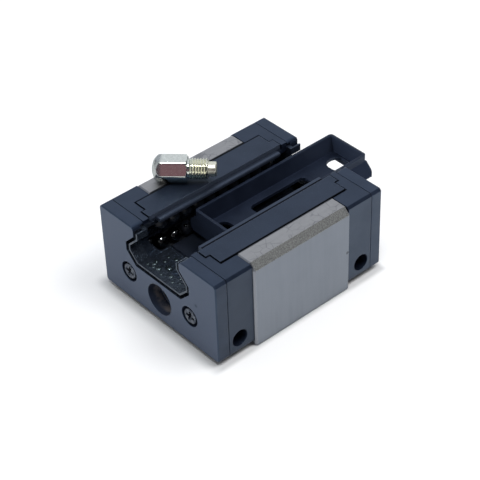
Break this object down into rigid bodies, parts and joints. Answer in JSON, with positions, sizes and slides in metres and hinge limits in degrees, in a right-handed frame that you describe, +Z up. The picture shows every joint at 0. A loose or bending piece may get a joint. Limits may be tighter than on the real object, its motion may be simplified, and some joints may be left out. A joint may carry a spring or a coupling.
{
  "type": "linear guide block",
  "caption": "Recirculating-ball guide block for a profile rail, lying channel up, with screwed end caps, bottom strips, a sliding plastic transport rail and a loose grease nipple.",
  "frame": {"origin": "centre of the ground mounting face, which lies down", "axes": "+X across the block, +Y along the rail towards the end where the transport rail sticks out, +Z up from the mounting face to the open side of the rail channel"},
  "size_m": [0.048, 0.0686, 0.0342],
  "materials": {
    "carriage_steel": "ground, dull",
    "cap_plastic": "moulded, satin",
    "plate_plastic": "moulded, satin",
    "strip_plastic": "moulded, satin",
    "lip_rubber": "moulded, oiled",
    "screw_steel": "blackened",
    "retainer_plastic": "moulded, oiled",
    "guide_plastic": "moulded",
    "ball_steel": "polished, oiled",
    "dummy_plastic": "moulded, satin",
    "nipple_plating": "nickel plated"
  },
  "bodies": {
    "block": {"carriage_body": "carriage_steel", "channel_retainer": "retainer_plastic", "front_end_cap": "cap_plastic", "front_left_lower_return_guide": "guide_plastic", "front_left_upper_return_guide": "guide_plastic", "front_right_lower_return_guide": "guide_plastic", "front_right_upper_return_guide": "guide_plastic", "front_screws": "screw_steel", "front_seal_lip": "lip_rubber", "front_seal_plate": "plate_plastic", "grease_nipple": "nipple_plating", "left_ball_retainer": "retainer_plastic", "left_bottom_strip": "strip_plastic", "left_lower_ball_circuit": "ball_steel", "left_upper_ball_circuit": "ball_steel", "rear_end_cap": "cap_plastic", "rear_left_lower_return_guide": "guide_plastic", "rear_left_upper_return_guide": "guide_plastic", "rear_right_lower_return_guide": "guide_plastic", "rear_right_upper_return_guide": "guide_plastic", "rear_screws": "screw_steel", "rear_seal_lip": "lip_rubber", "rear_seal_plate": "plate_plastic", "right_ball_retainer": "retainer_plastic", "right_bottom_strip": "strip_plastic", "right_lower_ball_circuit": "ball_steel", "right_upper_ball_circuit": "ball_steel"},
    "transport_rail": {"dummy_rail": "dummy_plastic"}
  },
  "joints": [
    {"name": "transport_rail_slide", "type": "slide", "parent": "block", "child": "transport_rail", "axis": [0, 1, 0], "range_m": [-0.0589, 0.03]}
  ]
}
